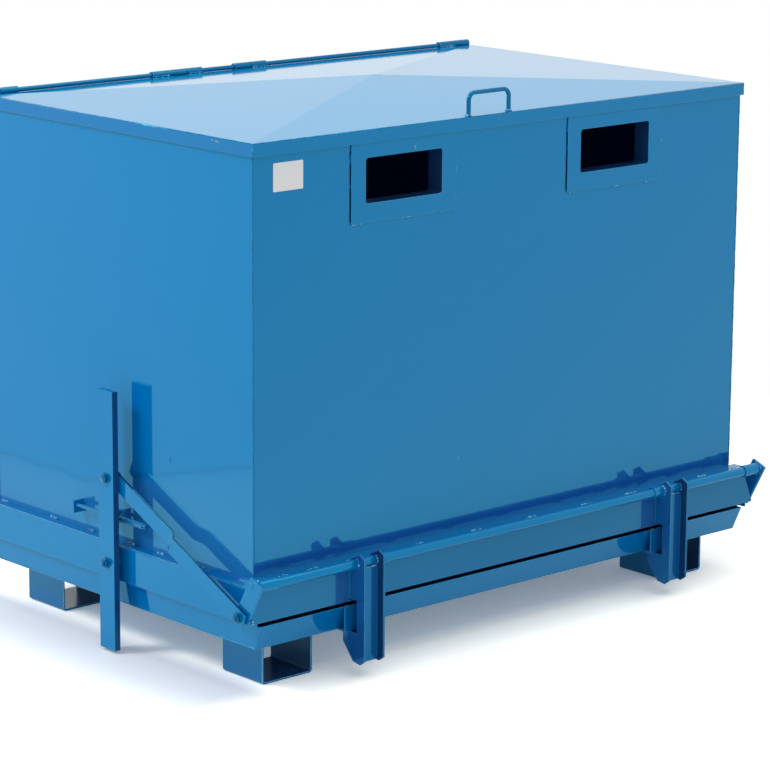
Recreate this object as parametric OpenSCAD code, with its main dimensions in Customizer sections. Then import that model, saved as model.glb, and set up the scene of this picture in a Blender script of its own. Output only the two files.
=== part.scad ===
// Bottom-emptying recycling container in millimetres.
// X runs along the long side, the slots face -Y, and Z is up from the floor.
// The tray on its feet is the fixed part. The box turns on the front tube.

/* [Box] */
// Width of the box over its side walls
body_w = 1784; // [1600:1:2000]
// Depth of the box over its front and back walls
body_d = 1114; // [950:1:1250]
// Height of the top of the lid's rim above the floor
rim_top = 1428; // [1300:1:1600]
// Thickness of the box walls
wall_t = 4; // [3:0.5:6]
// Thickness of the folded base edge
base_t = 5; // [4:0.5:6]
// How far the base edge stands out behind the back wall
base_reach = 49; // [45:1:55]
// How far the base edge stands out at the two sides
base_side = 30; // [26:1:36]
// Height of the top of the base edge above the floor
base_top = 311; // [300:1:340]
// How much lower the base edge lies at the sides and the back than in front
side_drop = 19; // [14:1:24]

/* [Lid] */
// How far the lid stands over the walls on each side
lid_over = 8; // [7:0.5:12]
// Height of the folded rim of the lid
rim_h = 35; // [25:1:50]
// Thickness of the lid sheet
lid_t = 3; // [2:0.5:4]
// Rise of the lid from its edges to its middle
lid_rise = 40; // [20:1:80]
// Diameter of the lid handle bar
handle_d = 12; // [8:1:16]
// Distance between the legs of the lid handle
handle_w = 145; // [120:1:200]
// Height of the lid handle over the lid
handle_h = 60; // [45:1:90]
// Middle of the lid handle from the middle of the lid
handle_x = -86; // [-200:1:200]

/* [Lid hinge] */
// Diameter of the long hinge rod
hinge_rod_d = 14; // [12:0.5:15]
// Diameter of the hinge knuckles
knuckle_d = 22; // [20:0.5:26]
// Length of each hinge knuckle
knuckle_l = 60; // [50:1:70]
// Place of the left end of the first middle pair of knuckles
pair_a = -331; // [-400:1:-300]
// Place of the left end of the second middle pair of knuckles
pair_b = -31; // [-60:1:60]

/* [Letter slots] */
// Width of each slot
slot_w = 265; // [200:1:320]
// Height of each slot
slot_h = 118; // [80:1:130]
// Height of the middle of the slots above the floor
slot_z = 1295; // [1240:1:1300]
// Distance of each slot from the middle of the box
slot_x = 388; // [330:1:450]
// Width of the frame plate round a slot
frame_w = 365; // [340:1:380]
// Height of the frame plate below the top of the slot
frame_h = 168; // [140:1:200]
// Height of the frame plate above the top of the slot
frame_up = 36; // [15:1:36]
// Thickness of the frame plate
frame_t = 4; // [3:0.5:4.5]
// Depth of the folded collar inside each slot
collar_deep = 55; // [30:1:80]

/* [Tray] */
// Height of the underside of the tray above the floor
tray_low = 124; // [110:1:140]
// Height of the top edge of the tray above the floor
tray_top = 192; // [180:1:196]
// Sheet thickness of the tray
tray_t = 4; // [3:0.5:6]
// How far the top edge of the tray stands out in front of the walls
tray_reach = 42; // [36:1:44]
// How much the front and back of the tray lean in
tray_lean = 27; // [10:1:35]
// How much the sides of the tray lean in
tray_lean_side = 6; // [2:1:12]
// How far the sides of the tray stand out from the walls
tray_side = 16; // [12:1:20]

/* [Feet] */
// Width of each foot over its plates
foot_w = 170; // [150:1:200]
// Depth of each foot
foot_d = 163; // [120:1:200]
// Plate thickness of the feet
foot_t = 6; // [4:0.5:8]
// Distance of each foot from the end of the tray
foot_in = 78; // [50:1:150]
// Distance of each foot from the lower edge of the tray
foot_back = 58; // [40:1:120]

/* [Front hinge] */
// Diameter of the hinge tube
shaft_d = 26.9; // [25:0.1:28]
// Height of the tube's axis above the floor
shaft_z = 309; // [307:0.5:311]
// Outer diameter of the hinge sleeves
sleeve_d = 33.7; // [33:0.1:34]
// Running clearance between tube and sleeve, per side
sleeve_gap = 0.08; // [0.05:0.01:0.1]
// Length of the sleeve beside each hook bracket
hook_sleeve_l = 38; // [30:1:60]
// Length of the sleeve at each end
end_sleeve_l = 61; // [40:1:80]
// Thickness of the two end plates
end_plate_t = 8; // [6:1:10]

/* [Hook brackets] */
// Distance of each hook bracket from the middle
hook_x = 574; // [500:1:650]
// Width of each hook bracket
hook_w = 72; // [60:1:90]
// Thickness of the hook side plates
hook_t = 6; // [5:1:8]
// How far the hook front edge stands out from the front wall
hook_reach = 106; // [100:1:110]
// Depth of the channel of each hook bracket
hook_depth = 30; // [26:1:34]
// Height of the lower edge of the front beam above the floor
beam_low = 205; // [200:1:212]
// Width of the keeper plates on the tray
keeper_w = 102; // [90:1:120]
// Height of the lowest point of the hooks above the floor
hook_low = 40; // [30:1:50]

/* [Side levers] */
// Width of the lever
lever_w = 65; // [55:1:75]
// Thickness of the lever
lever_t = 18; // [15:1:22]
// Height of the top of the lever above the floor
lever_top = 717; // [650:1:800]
// Gap between the lever's lower end and the floor
lever_low = 8; // [6:1:30]
// Height of the lower lever bolt above the floor
pivot_z = 247; // [235:1:260]
// Height of the upper lever bolt above the floor
link_top_z = 479; // [470:1:490]
// Diameter of the lever and link bolts
bolt_d = 16; // [14:1:18]
// Width of the link bar
link_w = 44; // [42:1:54]
// Thickness of the link bar
link_t = 8; // [6:1:8]
// Travel of the open link hole to each side of the bolt
link_play = 5.5; // [5:0.5:6]

/* [Lock rods] */
// Diameter of the thin part of the lock rod
rod_d = 10; // [8:1:12]
// Diameter of the thick front part of the lock rod
grip_d = 18; // [16:1:20]
// Height of the lock rod above the floor
rod_z = 362; // [350:1:375]
// Travel of the lock rod
rod_travel = 30; // [15:1:30]
// Distance of the near guide plate behind the middle of the lever
guide_near = 24; // [20:1:40]
// Distance of the far guide plate behind the middle of the lever
guide_far = 185; // [150:1:220]
// How far the lock rod reaches in front of the middle of the lever
rod_reach = 124; // [100:1:140]

/* [Hidden] */
$fn = 48;
seat = 0.3;
run = 0.08;
mid_y = (hook_reach - base_reach) / 2;
front_y = mid_y - body_d / 2;
back_y = mid_y + body_d / 2;
half_w = body_w / 2;
lid_w = body_w + 2 * lid_over;
lid_d = body_d + 2 * lid_over;
wall_low = base_top - base_t;
side_top = base_top - side_drop;
side_low = side_top - base_t;
wall_top = rim_top - lid_t - seat;
skirt_x = half_w + base_side;
skirt_low = tray_top + seat;
skirt_front = front_y - base_reach;
skirt_back = back_y + base_reach;
shaft_y = skirt_front - sleeve_d / 2 - 2.15;
plate_in = skirt_x + 16;
plate_out = plate_in + end_plate_t;
sleeve_in = shaft_d / 2 + sleeve_gap;
hook_front = front_y - hook_reach;
hook_back = hook_front + hook_depth;
hook_out = hook_x + hook_w / 2;
hook_in = hook_x - hook_w / 2;
notch_back = shaft_y + 20;
lever_y = front_y + 534.5;
lever_in = skirt_x + 18;
lever_out = lever_in + lever_t;
link_in = lever_in - 2 - link_t;
link_low_in = plate_out + 2;
link_low_y = front_y - 13;
link_low_z = 221;
link_end = link_w / 2;
bolt_head = 9;
bolt_hex = bolt_d * 1.6;
hinge_y = back_y + lid_over + knuckle_d / 2;
hinge_z = rim_top + 5;
rod_x = half_w + 25;
guide_t = 6;
knuckle_end = lid_w / 2 - 1;
knuckle_step = knuckle_l + 4.5;
body_knuckle_x = [knuckle_l + 7 - half_w - 28, pair_a + knuckle_step, pair_b, knuckle_end - knuckle_l];
lid_knuckle_x = [-knuckle_end, pair_a, pair_a + 2 * knuckle_step - 2, pair_b + knuckle_l + 1,
    knuckle_end - 2 * knuckle_l - 4];
lid_knuckle_l = [44, knuckle_step - 1, knuckle_l - 6, knuckle_l - 1, knuckle_l + 3];

paint = [0.05, 0.38, 0.65];
steel = [0.62, 0.64, 0.66];

// A round bar or hole along X between two positions
module bar_x(x0, x1, d, y = 0, z = 0) {
    translate([x0, y, z]) rotate([0, 90, 0]) cylinder(h = x1 - x0, d = d);
}

// A round bar or hole along Y between two positions
module bar_y(y0, y1, d, x = 0, z = 0) {
    translate([x, y1, z]) rotate([90, 0, 0]) cylinder(h = y1 - y0, d = d);
}

// A box given by its two corners
module block(a, b) {
    translate(a) cube([b[0] - a[0], b[1] - a[1], b[2] - a[2]]);
}

// A flat shape drawn in Y and Z and given thickness along X
module plate_x(x0, x1) {
    translate([x0, 0, 0]) rotate([90, 0, 90]) linear_extrude(height = x1 - x0) children();
}

// The same piece on both sides of the middle
module both_sides() {
    children();
    mirror([1, 0, 0]) children();
}

// A rectangle with round corners
module round_rect(w, h, r) {
    square([w - 2 * r, h], center = true);
    square([w, h - 2 * r], center = true);
    for (sx = [-1, 1], sy = [-1, 1]) translate([sx * (w / 2 - r), sy * (h / 2 - r)]) circle(r = r);
}

// A hexagon bolt head with its washer, facing +X from position x0
module bolt_head_x(x0, y, z) {
    bar_x(x0, x0 + 2.5, bolt_d * 1.9, y, z);
    translate([x0 + 2, y, z]) rotate([0, 90, 0]) cylinder(h = bolt_head, d = bolt_hex, $fn = 6);
}

// How far the tray stands out at height z, in front and at the sides
function lean_at(z) = (tray_top - z) / (tray_top - tray_low);
function reach_at(z) = tray_reach - tray_lean * lean_at(z);
function side_at(z) = half_w + tray_side - tray_lean_side * lean_at(z);

// Outline of the tray in Y and Z between two heights, drawn in by s
module tray_profile(s, z0, z1) {
    polygon([[front_y - reach_at(z0) + s, z0], [back_y + reach_at(z0) - s, z0],
        [back_y + reach_at(z1) - s, z1], [front_y - reach_at(z1) + s, z1]]);
}

// Outline of the tray in X and Z, given thickness along Y
module tray_ends(s, z0, z1) {
    reach = body_d / 2 + tray_reach;
    translate([0, mid_y + reach, 0]) rotate([90, 0, 0]) linear_extrude(height = 2 * reach)
        polygon([[s - side_at(z0), z0], [side_at(z0) - s, z0], [side_at(z1) - s, z1], [s - side_at(z1), z1]]);
}

module tray_floor() {
    x = side_at(tray_top);
    color(paint) intersection() {
        plate_x(-x, x) tray_profile(0, tray_low, tray_low + tray_t);
        tray_ends(0, tray_low, tray_low + tray_t);
    }
}

// Four leaning sides of the tray, the short ones between the long ones
module tray_sides() {
    x = side_at(tray_top);
    low = tray_low + tray_t;
    color(paint) {
        intersection() {
            plate_x(-x, x) difference() {
                tray_profile(0, low, tray_top);
                tray_profile(tray_t, low - 1, tray_top + 1);
            }
            tray_ends(0, low, tray_top);
        }
        intersection() {
            plate_x(-x, x) tray_profile(tray_t + seat, low, tray_top);
            difference() {
                tray_ends(0, low, tray_top);
                tray_ends(tray_t, low - 1, tray_top + 1);
            }
        }
    }
}

// One foot with its fork opening along Y
module foot(x0, y0) {
    translate([x0 + foot_w / 2, y0 + foot_d, 0]) rotate([90, 0, 0]) linear_extrude(height = foot_d)
        difference() {
            union() {
                translate([0, 20]) round_rect(foot_w, 40, 10);
                translate([-foot_w / 2, 20]) square([foot_w, tray_low - 20]);
            }
            union() {
                translate([0, 20 + foot_t / 2]) round_rect(foot_w - 2 * foot_t, 40 - foot_t, 5);
                translate([-foot_w / 2 + foot_t, 20]) square([foot_w - 2 * foot_t, tray_low]);
            }
        }
}

module feet() {
    edge_x = half_w + tray_side - foot_in - foot_w;
    edge_y = front_y - tray_reach + tray_lean + foot_back;
    far_y = back_y + tray_reach - tray_lean - foot_back - foot_d;
    color(paint) both_sides() {
        foot(edge_x, edge_y);
        foot(edge_x, far_y);
    }
}

// Angle plates on the tray front that stand on the hook teeth
module keepers() {
    k_front = front_y - tray_reach - 5;
    k_low = front_y - tray_reach + tray_lean;
    k_up = k_low - 5 * tray_lean / (tray_top - tray_low);
    color(paint) both_sides()
        plate_x(hook_x - keeper_w / 2, hook_x + keeper_w / 2)
            polygon([[k_front, tray_low], [k_low, tray_low], [k_up, tray_low + 5],
                [k_front + 5, tray_low + 5], [k_front + 5, tray_top], [k_front, tray_top]]);
}

module front_beam() {
    end_x = plate_in;
    top_x = half_w + 18;
    top_z = shaft_z - 18;
    color(paint) translate([0, skirt_front + base_t, 0]) rotate([90, 0, 0]) linear_extrude(height = base_t)
        polygon([[-end_x, beam_low], [end_x, beam_low], [end_x, beam_low + 12],
            [top_x, top_z], [-top_x, top_z], [-end_x, beam_low + 12]]);
}

// Outline of a hook side plate in Y and Z
module hook_outline() {
    tooth_back = front_y - 22;
    tooth_top = tray_low - seat;
    translate([shaft_y, shaft_z]) circle(r = 18.5);
    polygon([[hook_front, hook_low + 12], [hook_front, shaft_z + 18], [hook_front + 21, shaft_z + 30],
        [shaft_y + 2, shaft_z + 18.3], [shaft_y + 2, shaft_z], [skirt_front, shaft_z],
        [skirt_front, beam_low + 7], [hook_back, beam_low + 7], [hook_back, tooth_top],
        [tooth_back, tooth_top], [tooth_back, hook_low + 53], [hook_front + 44, hook_low + 5],
        [hook_front + 17, hook_low]]);
}

module hook_plate(x0) {
    difference() {
        plate_x(x0, x0 + hook_t) hook_outline();
        bar_x(x0 - 1, x0 + hook_t + 1, 2 * sleeve_in, shaft_y, shaft_z);
    }
}

module hook_plates() {
    color(paint) both_sides() {
        hook_plate(hook_in);
        hook_plate(hook_out - hook_t);
    }
}

module hook_webs() {
    color(paint) both_sides()
        block([hook_in + hook_t, hook_back - 6, hook_low + 3],
            [hook_out - hook_t, hook_back, shaft_z - shaft_d / 2 + 1.5]);
}

// Folded plates that close the underside of the hook teeth
module hook_ramps() {
    tooth_back = front_y - 22;
    color(paint) both_sides() plate_x(hook_in + hook_t, hook_out - hook_t)
        polygon([[hook_back, hook_low + 3], [hook_front + 44, hook_low + 5],
            [tooth_back, hook_low + 53], [tooth_back, tray_low - seat],
            [tooth_back - 5, tray_low - seat], [tooth_back - 5, hook_low + 55],
            [hook_front + 41.5, hook_low + 10], [hook_back, hook_low + 8]]);
}

module sleeve(x0, x1) {
    difference() {
        bar_x(x0, x1, sleeve_d, shaft_y, shaft_z);
        bar_x(x0 - 1, x1 + 1, 2 * sleeve_in, shaft_y, shaft_z);
    }
}

module hook_sleeves() {
    color(paint) both_sides() sleeve(hook_in - hook_sleeve_l, hook_in);
}

module end_sleeves() {
    color(paint) both_sides() sleeve(plate_in - end_sleeve_l, plate_in);
}

// Plate at one end that joins beam, sleeve and link
module end_plate() {
    color(paint) difference() {
        plate_x(plate_in, plate_out)
            polygon([[shaft_y + 16, shaft_z + 25], [shaft_y - 30, shaft_z + 7],
                [link_low_y - 27, link_low_z - 15], [link_low_y + 12, link_low_z - 17],
                [link_low_y + 25, link_low_z + 2], [link_low_y + 4, link_low_z + 37]]);
        bar_x(plate_in - 1, plate_out + 1, 2 * sleeve_in, shaft_y, shaft_z);
        bar_x(plate_in - 1, plate_out + 1, bolt_d, link_low_y, link_low_z);
    }
}

module left_end_plate() { mirror([1, 0, 0]) end_plate(); }
module right_end_plate() { end_plate(); }

// Studs in the end plates that carry the lower ends of the links
module link_studs() {
    color(steel) both_sides() {
        bar_x(plate_in, link_low_in + link_t + 1, bolt_d, link_low_y, link_low_z);
        bar_x(plate_out, link_low_in - seat, bolt_d * 1.9, link_low_y, link_low_z);
        bolt_head_x(link_low_in + link_t + seat, link_low_y, link_low_z);
    }
}

// Opening in the front wall for one slot collar
module slot_cut(x) {
    w = slot_w / 2 + 3 + seat;
    h = slot_h / 2 + 3 + seat;
    block([x - w, front_y - 1, slot_z - h], [x + w, front_y + wall_t + 1, slot_z + h]);
}

module front_wall() {
    color(paint) difference() {
        block([-half_w, front_y, wall_low], [half_w, front_y + wall_t, wall_top]);
        slot_cut(-slot_x);
        slot_cut(slot_x);
    }
}

module back_wall() {
    color(paint) block([-half_w, back_y - wall_t, side_low], [half_w, back_y, wall_top]);
}

module left_wall() {
    color(paint) block([-half_w, front_y + wall_t, side_low], [wall_t - half_w, back_y - wall_t, wall_top]);
}

module right_wall() {
    color(paint) block([half_w - wall_t, front_y + wall_t, side_low], [half_w, back_y - wall_t, wall_top]);
}

// Flat edge all round the foot of the walls, notched at the sleeves and stepped at the front corners
module base_edge() {
    lip = shaft_y + shaft_d / 2 + 0.05;
    end_notch = plate_in - end_sleeve_l - 8;
    color(paint) {
        difference() {
            block([-skirt_x, lip, wall_low], [skirt_x, front_y, base_top]);
            both_sides() {
                block([hook_in - hook_sleeve_l - 8, lip - 1, wall_low - 1],
                    [hook_out + 8, notch_back, base_top + 1]);
                block([end_notch, lip - 1, wall_low - 1], [skirt_x + 1, notch_back, base_top + 1]);
            }
        }
        block([-skirt_x, back_y, side_low], [skirt_x, skirt_back, side_top]);
        both_sides() {
            block([half_w, front_y, side_low], [skirt_x, back_y, side_top]);
            block([half_w, front_y, side_low], [skirt_x, front_y + base_t, base_top]);
        }
    }
}

// Holes for the lever bolts in the side skirts
module pivot_hole(d) {
    bar_x(skirt_x - base_t - 1, skirt_x + 1, d, lever_y, pivot_z);
}

module side_skirt() {
    color(paint) difference() {
        plate_x(skirt_x - base_t, skirt_x)
            polygon([[skirt_front + base_t + seat, skirt_low], [skirt_back - base_t, skirt_low],
                [skirt_back - base_t, side_low], [front_y, side_low],
                [front_y, wall_low], [skirt_front + base_t + seat, wall_low]]);
        pivot_hole(bolt_d);
    }
}

module left_skirt() { mirror([1, 0, 0]) side_skirt(); }
module right_skirt() { side_skirt(); }

module back_skirt() {
    color(paint) block([-skirt_x, skirt_back - base_t, skirt_low], [skirt_x, skirt_back, side_low]);
}

// Flat bars inside the skirts that sit on the rim of the tray
module rest_ledges() {
    color(paint) {
        both_sides() block([half_w + tray_side - tray_t, skirt_front + base_t + 20, skirt_low],
            [skirt_x - base_t, back_y + tray_reach - tray_t, skirt_low + 6]);
        block([-half_w, back_y + tray_reach - tray_t + 0.5, skirt_low],
            [half_w, skirt_back - base_t, skirt_low + 6]);
    }
}

module hinge_tube() {
    color(paint) difference() {
        bar_x(-plate_out, plate_out, shaft_d, shaft_y, shaft_z);
        bar_x(-plate_out - 1, plate_out + 1, shaft_d - 6.4, shaft_y, shaft_z);
    }
}

// Discs that close the ends of the hinge tube
module tube_plugs() {
    color(paint) both_sides() bar_x(plate_out - 8, plate_out - 1, shaft_d - 6.4, shaft_y, shaft_z);
}

// Frame plate with its collar for one slot
module slot_frame(x) {
    color(paint) translate([x, 0, slot_z]) rotate([90, 0, 0]) difference() {
        union() {
            translate([-frame_w / 2, slot_h / 2 - frame_h, -front_y]) cube([frame_w, frame_h + frame_up, frame_t]);
            translate([0, 0, -front_y - collar_deep + frame_t])
                linear_extrude(height = collar_deep) round_rect(slot_w + 6, slot_h + 6, 11);
        }
        translate([0, 0, -front_y - collar_deep]) linear_extrude(height = collar_deep + 20)
            round_rect(slot_w, slot_h, 8);
    }
}

module left_slot_frame() { slot_frame(-slot_x); }
module right_slot_frame() { slot_frame(slot_x); }

// Bolts through the side skirts that the levers turn on
module pivot_bolts() {
    color(steel) both_sides() {
        bar_x(skirt_x - base_t - 12, lever_out + 1, bolt_d, lever_y, pivot_z);
        bolt_head_x(lever_out + seat, lever_y, pivot_z);
        translate([skirt_x - base_t - 13, lever_y, pivot_z]) rotate([0, 90, 0])
            cylinder(h = 13, d = bolt_hex, $fn = 6);
    }
}

module pivot_washers() {
    color(steel) both_sides() difference() {
        bar_x(skirt_x, lever_in - seat, bolt_d * 2.2, lever_y, pivot_z);
        bar_x(skirt_x - 1, lever_in + 1, bolt_d, lever_y, pivot_z);
    }
}

// Guide plates on the side walls for the lock rods
module rod_guide(y0) {
    difference() {
        block([half_w, y0, rod_z - 22], [half_w + 36, y0 + guide_t, rod_z + 12]);
        bar_y(y0 - 1, y0 + guide_t + 1, rod_d + 2 * run, rod_x, rod_z);
    }
}

module rod_guides() {
    color(paint) both_sides() {
        rod_guide(lever_y + guide_near);
        rod_guide(lever_y + guide_far);
    }
}

// One lock rod with its thick front part and cross pin
module lock_rod() {
    color(steel) {
        bar_y(lever_y - 12, lever_y + guide_far + 15, rod_d, rod_x, rod_z);
        bar_y(lever_y - rod_reach, lever_y + guide_near - rod_travel - 3, grip_d, rod_x, rod_z);
        bar_x(rod_x - 14, rod_x + 14, 6, lever_y - rod_reach + 10, rod_z);
    }
}

module left_lock_rod() { mirror([1, 0, 0]) lock_rod(); }
module right_lock_rod() { lock_rod(); }

// Round knuckle of the lid hinge
module knuckle(x0, l) {
    bar_x(x0, x0 + l, knuckle_d, hinge_y, hinge_z);
}

module body_knuckles() {
    leaf_top = hinge_z - 85;
    color(paint) difference() {
        for (x = body_knuckle_x) {
            knuckle(x, knuckle_l - 1);
            block([x, back_y + lid_over + 3, leaf_top], [x + knuckle_l - 1, back_y + lid_over + 8, hinge_z]);
            block([x, back_y, leaf_top], [min(x + knuckle_l - 1, half_w), back_y + lid_over + 4, leaf_top + 36]);
        }
        bar_x(-lid_w, lid_w, hinge_rod_d, hinge_y, hinge_z);
    }
}

module lid_knuckles() {
    color(paint) difference() {
        for (i = [0 : len(lid_knuckle_x) - 1]) {
            x = lid_knuckle_x[i];
            knuckle(x, lid_knuckle_l[i]);
            block([x, back_y + lid_over, rim_top - 4], [x + lid_knuckle_l[i], hinge_y, hinge_z]);
        }
        bar_x(-lid_w, lid_w, hinge_rod_d + 2 * run, hinge_y, hinge_z);
    }
}

module hinge_rod() {
    color(paint) bar_x(2 - knuckle_end, knuckle_end - 2, hinge_rod_d, hinge_y, hinge_z);
}

// Low pyramid over the rectangle of the lid, with its base at height low
module lid_roof(edge_z, low) {
    front = mid_y - lid_d / 2;
    back = mid_y + lid_d / 2;
    intersection() {
        plate_x(-lid_w / 2, lid_w / 2)
            polygon([[front, low], [back, low], [back, edge_z], [mid_y, edge_z + lid_rise], [front, edge_z]]);
        translate([0, back, 0]) rotate([90, 0, 0]) linear_extrude(height = lid_d)
            polygon([[-lid_w / 2, low], [lid_w / 2, low], [lid_w / 2, edge_z],
                [0, edge_z + lid_rise], [-lid_w / 2, edge_z]]);
    }
}

module lid_panel() {
    low = rim_top - lid_t;
    color(paint) difference() {
        lid_roof(rim_top, low);
        lid_roof(low, low - 10);
    }
}

// Folded rim under the front and side edges of the lid
module lid_rims() {
    front = mid_y - lid_d / 2;
    low = rim_top - rim_h;
    color(paint) {
        block([-lid_w / 2, front, low], [lid_w / 2, front + lid_t, rim_top - lid_t]);
        both_sides() block([lid_w / 2 - lid_t, front + lid_t, low],
            [lid_w / 2, mid_y + lid_d / 2, rim_top - lid_t]);
    }
}

// Bent round bar on the front edge of the lid
module lid_handle() {
    r = 20;
    leg = handle_w / 2;
    y = mid_y - lid_d / 2 + 10;
    low = rim_top + (10 + handle_d / 2) * lid_rise / (lid_d / 2);
    color(paint) translate([handle_x, y, low]) {
        for (s = [-1, 1]) {
            translate([s * leg, 0, 0]) cylinder(h = handle_h - r, d = handle_d);
            translate([s * (leg - r), 0, handle_h - r]) rotate([90, 0, 0])
                rotate_extrude(angle = s * 90) translate([s * r, 0]) circle(d = handle_d);
        }
        bar_x(r - leg, leg - r, handle_d, 0, handle_h);
    }
}

// Upright lever with its two bolt holes
module lever() {
    color(paint) difference() {
        block([lever_in, lever_y - lever_w / 2, lever_low], [lever_out, lever_y + lever_w / 2, lever_top]);
        bar_x(lever_in - 1, lever_out + 1, bolt_d + 2 * run, lever_y, pivot_z);
        bar_x(lever_in - 1, lever_out + 1, bolt_d, lever_y, link_top_z);
    }
}

module left_lever() { mirror([1, 0, 0]) lever(); }
module right_lever() { lever(); }

// Bolt through the lever that holds the upper end of the link
module lever_bolt() {
    color(steel) {
        bar_x(link_in - 14, lever_out + 1, bolt_d, lever_y, link_top_z);
        bolt_head_x(lever_out, lever_y, link_top_z);
        bar_x(link_in - 3.5, link_in - 1, bolt_d * 2.6, lever_y, link_top_z);
        translate([link_in - 15, lever_y, link_top_z]) rotate([0, 90, 0])
            cylinder(h = 12, d = bolt_hex, $fn = 6);
    }
}

module left_lever_bolt() { mirror([1, 0, 0]) lever_bolt(); }
module right_lever_bolt() { lever_bolt(); }

// Open hole of the link, longer across the bar than along it
module link_slot() {
    half = bolt_d / 2 + 1.8;
    up = link_play - 1.8;
    bar_x(link_in - 1, link_in + link_t + 1, 2 * half, 0, up);
    bar_x(link_in - 1, link_in + link_t + 1, 2 * half, 0, -up);
    block([link_in - 1, -half, -up], [link_in + link_t + 1, half, up]);
}

// Joggled flat bar from the lever's upper bolt to the end plate
module link() {
    dy = lever_y - link_low_y;
    dz = link_top_z - link_low_z;
    len = sqrt(dy * dy + dz * dz);
    j0 = 0.45 * len;
    j1 = j0 + 28;
    color(paint) translate([0, lever_y, link_top_z]) rotate([atan2(dz, dy), 0, 0]) difference() {
        translate([0, 0, -link_w / 2]) linear_extrude(height = link_w)
            polygon([[link_in, 29], [link_in + link_t, 29], [link_in + link_t, -j0],
                [link_low_in + link_t, -j1], [link_low_in + link_t, -len - link_end],
                [link_low_in, -len - link_end], [link_low_in, -j1 - 1], [link_in, -j0 - 1]]);
        link_slot();
        bar_x(link_low_in - 1, link_low_in + link_t + 1, bolt_d + 2 * run, -len, 0);
    }
}

module left_link() { mirror([1, 0, 0]) link(); }
module right_link() { link(); }

tray_floor();
tray_sides();
feet();
keepers();
front_beam();
hook_plates();
hook_webs();
hook_ramps();
hook_sleeves();
left_end_plate();
right_end_plate();
end_sleeves();
link_studs();
front_wall();
back_wall();
left_wall();
right_wall();
base_edge();
left_skirt();
right_skirt();
back_skirt();
rest_ledges();
hinge_tube();
tube_plugs();
left_slot_frame();
right_slot_frame();
pivot_bolts();
pivot_washers();
rod_guides();
body_knuckles();
hinge_rod();
lid_panel();
lid_rims();
lid_handle();
lid_knuckles();
left_lever();
right_lever();
left_lever_bolt();
right_lever_bolt();
left_link();
right_link();
left_lock_rod();
right_lock_rod();
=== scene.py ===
"""Looks of the bottom-emptying recycling container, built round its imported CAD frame.

The box, lid, tray, hooks and levers keep their CAD shapes. Each is dressed with soft edges,
weld beads, bolts and a glossy enamel. Pieces are worked out in millimetres. Shaders, lamps, the
camera and the floor are in metres.
"""
import math
import random

import bmesh
import bpy
from mathutils import Matrix, Vector, noise


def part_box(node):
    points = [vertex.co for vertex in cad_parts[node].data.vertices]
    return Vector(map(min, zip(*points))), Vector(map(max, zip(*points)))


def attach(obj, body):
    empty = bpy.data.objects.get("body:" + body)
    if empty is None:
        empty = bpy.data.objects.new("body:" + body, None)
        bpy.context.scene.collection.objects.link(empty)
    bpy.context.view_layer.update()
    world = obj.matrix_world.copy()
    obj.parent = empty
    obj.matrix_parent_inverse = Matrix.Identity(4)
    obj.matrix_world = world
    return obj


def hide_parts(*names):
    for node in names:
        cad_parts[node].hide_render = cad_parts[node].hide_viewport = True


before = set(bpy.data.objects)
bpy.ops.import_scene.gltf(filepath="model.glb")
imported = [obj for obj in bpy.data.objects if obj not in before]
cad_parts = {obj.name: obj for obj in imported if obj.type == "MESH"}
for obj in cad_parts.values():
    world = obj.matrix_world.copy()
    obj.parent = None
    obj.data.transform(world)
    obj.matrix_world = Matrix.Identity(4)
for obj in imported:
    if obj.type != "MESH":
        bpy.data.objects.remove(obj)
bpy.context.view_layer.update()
MM = 0.001
X, Y, Z = 0, 1, 2
SIDES = (-1, 1)


def span(node, axis):
    """Lowest and highest place of a CAD node along one axis."""
    low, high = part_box(node)
    return low[axis] / MM, high[axis] / MM


def middle(node, axis):
    return sum(span(node, axis)) / 2


# The box
BASE_SHEET = 5
HALF_W = span("front_wall", X)[1]
FRONT_Y = span("front_wall", Y)[0]
BACK_Y = span("back_wall", Y)[1]
BASE_TOP = span("base_edge", Z)[1]
SIDE_TOP = span("left_wall", Z)[0] + BASE_SHEET
SKIRT_X = span("right_skirt", X)[1]
FRAME_LEFT, FRAME_RIGHT = span("right_slot_frame", X)
FRAME_LOW, FRAME_TOP = span("right_slot_frame", Z)
GUIDE_LOW, GUIDE_TOP = span("rod_guides", Z)

# The lid
LID_HALF = span("lid_panel", X)[1]
LID_FRONT, LID_BACK = span("lid_panel", Y)
RIM_LOW, RIM_FOLD = span("lid_rims", Z)
HANDLE_Y, HANDLE_LOW = middle("lid_handle", Y), span("lid_handle", Z)[0]
LID_KNUCKLES = [(-899, -855), (-331, -268), (-204, -150), (30, 89), (775, 838)]

# The tube at the front, its brackets and the beam
SHAFT_Y, SHAFT_Z = middle("hinge_tube", Y), middle("hinge_tube", Z)
SLEEVE_R = (span("end_sleeves", Z)[1] - span("end_sleeves", Z)[0]) / 2
BEAM_FRONT = span("front_beam", Y)[0]
BEAM_LOW, BEAM_TOP = span("front_beam", Z)
PLATE_IN, PLATE_OUT = span("right_end_plate", X)
HOOK_WIDE, HOOK_T = 72, 6
HOOK_OUT = span("hook_plates", X)[1]
HOOK_IN = HOOK_OUT - HOOK_WIDE
HOOK_BACK = span("hook_webs", Y)[1]
WEB_LOW, WEB_TOP = span("hook_webs", Z)
KEEPER_FRONT, KEEPER_SEAM_Z = span("keepers", Y)[0], 192

# Levers, links and their bolts
LEVER_IN, LEVER_OUT = span("right_lever", X)
LEVER_Y = middle("right_lever", Y)
PIVOT_Z = middle("pivot_washers", Z)
LINK_TOP_Z = middle("right_lever_bolt", Z)
LINK_LOW_Y, LINK_LOW_Z = middle("link_studs", Y), middle("link_studs", Z)
BOLT_R = 8

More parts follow.
